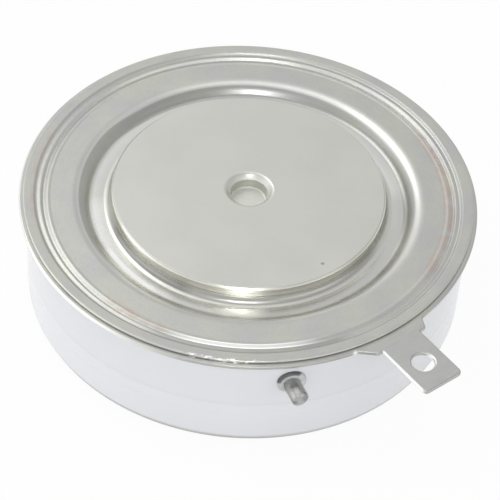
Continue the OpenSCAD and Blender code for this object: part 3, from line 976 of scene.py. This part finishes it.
@dataclass
class WeldFlange:
    """The flat flange under the lid, with the auxiliary cathode tab. Sizes in millimetres."""

    finishes: Finishes
    bore_r: float = 26.5
    edge_r: float = 29.245
    edge_points: int = 360
    z_top: float = 15.25
    sheet: float = 0.6
    edge_round: float = 0.25
    tab_azimuth: float = 39.7
    tab_reach: float = 9.1
    tab_w: float = 5.9
    tab_corner_r: float = 0.7
    root_w: float = 10.0
    root_taper: tuple = (1.9, 0.7)
    root_shift: float = 0.4
    root_reach: float = 1.2
    root_depth: float = 1.0
    root_corner_r: float = 0.5
    nick_r: float = 0.06
    sharp_r: float = 0.001
    hole_d: float = 2.8
    hole_setback: float = 3.9
    hole_points: int = 64
    # The flange's cut walls that face this way in the plan get painted light.
    painted_light_way: tuple = (-0.9, -0.436)

    def axes(self) -> Array:
        """The tab's own directions in the plan, in rows: across it and outwards."""
        a = math.radians(self.tab_azimuth)
        return np.array([[math.cos(a), math.sin(a)], [math.sin(a), -math.cos(a)]])

    def outline(self) -> Array:
        """The flange's outer edge with the tab, anticlockwise.

        The tab's corners are in its own frame, across it and outwards. The rest is the circle from
        one side of the root round to the other. In that frame the loop is clockwise, and the plan
        mirrors it.

        Returns:
            n x 2 points.
        """
        half, side, shift = self.root_w / 2, self.tab_w / 2, -self.root_shift
        end_l, end_r = (half - taper for taper in self.root_taper)
        root, tip = self.edge_r + self.root_reach, self.edge_r + self.tab_reach
        left, right = shift - half, shift + half
        foot_l, foot_r = (math.sqrt(self.edge_r**2 - u**2) for u in (left, right))
        corners = [
            [left, foot_l - self.root_depth, self.sharp_r], [left, foot_l, self.sharp_r],
            [shift - end_l, root, self.root_corner_r], [-side, root, self.nick_r],
            [-side, tip, self.tab_corner_r], [side, tip, self.tab_corner_r],
            [side, root, self.nick_r], [shift + end_r, root, self.root_corner_r],
            [right, foot_r, self.sharp_r], [right, foot_r - self.root_depth, self.sharp_r],
        ]
        ends = 2 * CORNER_STEPS - 1
        tab = round_corners(corners)[ends:-ends]
        start, stop = math.atan2(right, foot_r), TURN + math.atan2(left, foot_l)
        t = np.linspace(start, stop, self.edge_points)[1:-1]
        circle = self.edge_r * np.stack([np.sin(t), np.cos(t)], -1)
        return np.concatenate([tab, circle]) @ self.axes()

    def build(self) -> list:
        """Builds the flange's piece.

        Returns:
            The piece in a list.
        """
        hole = (self.edge_r + self.tab_reach - self.hole_setback) * self.axes()[1]
        holes = (0, self.bore_r, self.edge_points), (hole, self.hole_d / 2, self.hole_points)
        loops = [self.outline()]
        for middle, radius, points in holes:
            t = np.linspace(TURN, 0, points, endpoint=False)
            loops.append(middle + radius * np.stack([np.cos(t), np.sin(t)], -1))
        z = self.z_top - self.sheet / 2
        mesh = plate("weld_flange_sheet", loops, z, self.sheet, self.edge_round, self.painted_light_way)
        return [self.finishes.dress_mesh(mesh, Slot.SHEET, "weld_flange")]


@dataclass
class PolePiece:
    """The copper pole piece on one side. Sizes in millimetres, heights from its contact face."""

    finishes: Finishes
    node: str
    face_z: float
    inwards: float
    length: float
    inner_chamfer: float
    pocket_r: float = 0.0
    pocket_depth: float = 0.0
    contact_r: float = 17.5
    chamfer: float = 0.25
    shoulder_r: float = 20.3
    shoulder: float = 2.8
    hole_r: float = 2.4
    hole_depth: float = 2.0
    bottom_round: float = 0.3
    sink_r: float = 3.05
    sink_round: float = 0.6
    edge_round: float = 0.07
    sharp: float = 0.02

    def profile(self) -> Array:
        """The section from the middle of the hole's bottom, over the contact face, to the inside.

        The line starts and ends a millimetre past the axis, and is cut there.

        Returns:
            n x 2 rows of radius and height. Both ends are on the axis.
        """
        soft, sharp = self.edge_round, self.sharp
        inside = self.shoulder_r - self.inner_chamfer
        corners = [
            (-1.0, self.hole_depth, sharp), (self.hole_r, self.hole_depth, self.bottom_round),
            (self.hole_r, self.sink_r - self.hole_r, soft), (self.sink_r, 0.0, self.sink_round),
            (self.contact_r - self.chamfer, 0.0, soft), (self.contact_r, self.chamfer, soft),
            (self.contact_r, self.shoulder, sharp), (self.shoulder_r, self.shoulder, sharp),
            (self.shoulder_r, self.length - self.inner_chamfer, soft), (inside, self.length, soft),
        ]
        if self.pocket_depth:
            depth = self.length - self.pocket_depth
            corners += [(self.pocket_r, self.length, sharp), (self.pocket_r, depth, sharp)]
        corners.append((-1.0, corners[-1][1], sharp))
        line = round_corners(corners, EDGE_STEPS)
        line = line[line[:, 0] > ON_AXIS]
        line = np.concatenate([[[0, self.hole_depth]], line, [[0, corners[-1][1]]]])
        return np.stack([line[:, 0], self.face_z + self.inwards * line[:, 1]], -1)

    def build(self) -> list:
        """Builds the pole piece and returns it in a list."""
        mesh = revolve(f"{self.node}_surface", self.profile())
        return [self.finishes.dress_mesh(mesh, Slot.POLE, self.node)]


@dataclass
class PoleBraze:
    """The braze meniscus between the cathode pole piece and the lid. Sizes in millimetres."""

    finishes: Finishes
    pole_r: float = 17.5
    lid_r: float = 17.6
    floor_z: float = 13.8
    sheet: float = 0.4
    leg: float = 1.1
    arc_start: float = 0.02
    arc_points: int = 18
    tail: tuple = (0.2, 0.01)

    def build(self) -> list:
        """Builds the braze.

        It is a hollow quarter circle, r = pole_r + leg (1 - cos a) and z = floor_z + leg (1 - sin
        a), with a tail just under the lid's face, and runs down between pole piece and lid.

        Returns:
            The piece in a list.
        """
        a = np.linspace(self.arc_start, math.pi / 2, self.arc_points)
        r = self.pole_r + self.leg * (1 - np.cos(a))
        arc = np.stack([r, self.floor_z + self.leg * (1 - np.sin(a))], -1)
        further, under = self.tail
        bottom = self.floor_z - self.sheet
        foot = np.array([
            [self.pole_r + self.leg + further, self.floor_z - under],
            [self.lid_r, self.floor_z], [self.lid_r, bottom], [self.pole_r, bottom],
        ])
        profile = np.concatenate([arc, foot])
        mesh = revolve("cathode_pole_braze_fillet", profile, columns=FINE_COLUMNS)
        return [self.finishes.dress_mesh(mesh, Slot.POLE, "cathode_pole_braze")]


@dataclass
class ModelledPieces:
    """The pieces shown as the CAD has them: ceramic, anode side, gate and sealed stack."""

    finishes: Finishes
    smoothed: tuple = (
        ("ceramic_ring", Slot.CERAMIC),
        ("anode_flange", Slot.SHEET),
        ("anode_pole_braze", Slot.POLE),
        ("gate_tube", Slot.GATE_TUBE),
        ("gate_braze_collar", Slot.GATE_BRAZE),
    )

    def build(self) -> list:
        """Makes smooth copies of what shows, and dresses the other nodes.

        Returns:
            The new pieces.
        """
        dress = self.finishes.dress_mesh
        pieces = [dress(smooth_copy(node), slot, node) for node, slot in self.smoothed]
        for subpart in frame["record"]["subparts"]:
            if subpart["node"] not in self.finishes.replaced:
                self.finishes.dress_node(subpart["node"], Slot(subpart["material_slot"]))
        return pieces


# --- studio ---


@dataclass(frozen=True)
class Lamp:
    """A soft light aimed at the capsule.

    Azimuth in degrees from -Y towards +X, elevation in degrees, lengths in metres, power in watts.
    """

    name: str
    azimuth: float
    elevation: float
    width: float
    height: float
    power: float
    distance: float = 0.6

    def build(self) -> None:
        """Adds the light at its place, facing the origin."""
        a, e = math.radians(self.azimuth), math.radians(self.elevation)
        way = Vector((math.sin(a) * math.cos(e), -math.cos(a) * math.cos(e), math.sin(e)))
        place = way * self.distance
        data = bpy.data.lights.new(self.name, "AREA")
        data.shape, data.energy = "RECTANGLE", self.power
        data.size, data.size_y = self.width, self.height
        lamp = bpy.data.objects.new(self.name, data)
        turn = place.to_track_quat("Z", "Y").to_matrix().to_4x4()
        lamp.matrix_world = Matrix.Translation(place) @ turn
        bpy.context.scene.collection.objects.link(lamp)


@dataclass
class Studio:
    """Floor, soft light and the camera. Angles in degrees.

    The camera's distance is in capsule radii. Reflections see the whole sky, and surfaces are lit
    by the share sky_light of it.
    """

    capsule_r: float = 29.25
    seam_z: float = 15.25
    elevation: float = 44.209
    distance: float = 9.0
    roll: float = -3.878
    pan: float = 0.138
    tilt: float = -1.556
    lens_mm: float = 148.4712
    sensor_mm: float = 36.0
    clip: tuple = (0.01, 20.0)
    floor_half: float = 1.5
    floor_colour: tuple = (0.9, 0.9, 0.9)
    floor_grain: Noise = Noise(0.5, tint=0.02)
    floor_glow: float = 0.94
    white: tuple = (1.0, 1.0, 1.0)
    sky_level: float = 0.72
    sky_back: tuple = (-0.15, 0.55)
    sky_back_share: float = 0.18
    sky_side: tuple = (-0.4, 0.4)
    sky_side_share: float = 0.12
    sky_light: float = 0.76
    lamps: tuple = (
        Lamp("left_window", 234, 52, 0.4, 0.28, 0.6),
        Lamp("left_edge", 285, 13, 0.6, 0.35, 0.68),
        Lamp("right_front", 50, 14, 0.5, 0.35, 0.5),
        Lamp("overhead", 182, 80, 0.3, 0.2, 0.15),
        Lamp("front_flash", 0, 44, 0.05, 0.05, 0.56),
    )

    def camera(self) -> None:
        """Sets the camera.

        It looks at the middle of the seam between lid and flange, and is then panned about its own
        up direction, tilted about its right and rolled about its sight line.
        """
        e = math.radians(self.elevation)
        place = Vector((0, -math.cos(e), math.sin(e))) * self.distance
        right, forward = Vector((1, 0, 0)), -place.normalized()
        base = Matrix((right, right.cross(forward), forward))
        turns = ((-self.pan, "Y"), (self.tilt, "X"), (self.roll, "Z"))
        pan, tilt, roll = (Matrix.Rotation(math.radians(turn), 3, axis) for turn, axis in turns)
        rows = roll @ tilt @ pan @ base
        axes = Matrix((rows[0], rows[1], -rows[2])).transposed()
        data = bpy.data.cameras.new("camera")
        data.sensor_width, data.lens = self.sensor_mm, self.lens_mm
        data.clip_start, data.clip_end = self.clip
        camera = bpy.data.objects.new("camera", data)
        bpy.context.scene.collection.objects.link(camera)
        location = place * self.capsule_r * MM + Vector((0, 0, self.seam_z * MM))
        camera.matrix_world = Matrix.Translation(location) @ axes.to_4x4()
        bpy.context.scene.camera = camera

    def floor(self) -> None:
        """Lays a white floor that shows the capsule's soft shadow."""
        half = self.floor_half
        corners = [(-half, -half, 0), (half, -half, 0), (half, half, 0), (-half, half, 0)]
        mesh = bpy.data.meshes.new("floor")
        mesh.from_pydata(corners, [], [(0, 1, 2, 3)])
        material = bpy.data.materials.new("floor_white")
        graph = Graph(material)
        grain = self.floor_grain.read(graph.place())
        colour = graph.shade(self.floor_colour, 1 + grain.vary(self.floor_grain.tint))
        diffuse = graph.add("BsdfDiffuse", {"Color": colour})[0]
        glow = graph.add("Emission", {"Color": self.white})[0]
        share = self.seen(graph) * self.floor_glow
        mixed = graph.add("MixShader", {0: share, 1: diffuse, 2: glow})[0]
        graph.add("OutputMaterial", {"Surface": mixed})
        mesh.materials.append(material)
        floor = bpy.data.objects.new("floor", mesh)
        bpy.context.scene.collection.objects.link(floor)

    def seen(self, graph: Graph) -> Value:
        """1 for a ray from the camera, a reflection or a refraction, and 0 for other rays."""
        rays = graph.add("LightPath")
        names = "Is Camera Ray", "Is Glossy Ray", "Is Transmission Ray"
        return graph.greatest(*(Value(graph, rays[name]) for name in names))

    def world(self) -> None:
        """A pale room that lights softly, brightest at the back and the left."""
        world = bpy.data.worlds.new("studio")
        bpy.context.scene.world = world
        graph = Graph(world)
        ways = graph.add("SeparateXYZ", {0: graph.add("TexCoord")["Generated"]})
        right, back = Value(graph, ways[0]), Value(graph, ways[1])
        side = self.sky_side_share
        sky = self.sky_level + back.ramp(*self.sky_back) * self.sky_back_share
        sky *= 1 + side - right.ramp(*self.sky_side) * 2 * side
        light = sky * (self.sky_light + self.seen(graph) * (1 - self.sky_light))
        sockets = {"Color": self.white, "Strength": light}
        graph.add("OutputWorld", {"Surface": graph.add("Background", sockets)[0]})

    def build(self) -> None:
        """Sets the view, camera, floor, world and lights."""
        bpy.context.scene.view_settings.view_transform = "Standard"
        self.camera()
        self.floor()
        self.world()
        for lamp in self.lamps:
            lamp.build()


def main() -> None:
    """Builds the capsule's pieces and the studio."""
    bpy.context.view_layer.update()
    finishes = Finishes()
    parts = (
        PolePiece(
            finishes, "cathode_pole", face_z=16.1, inwards=-1.0, length=6.0, inner_chamfer=1.0,
            pocket_r=3.6, pocket_depth=3.4,
        ),
        PolePiece(
            finishes, "anode_pole", face_z=0.0, inwards=1.0, length=5.8, inner_chamfer=0.05
        ),
        CathodeLid(finishes),
        PoleBraze(finishes),
        WeldFlange(finishes),
        ModelledPieces(finishes),
    )
    for part in parts:
        for piece in part.build():
            LOG.info("%s: %s, %d faces", type(part).__name__, piece.name, len(piece.data.polygons))
    Studio().build()


if __name__ == "__main__":
    logging.basicConfig(level=logging.INFO)
    main()
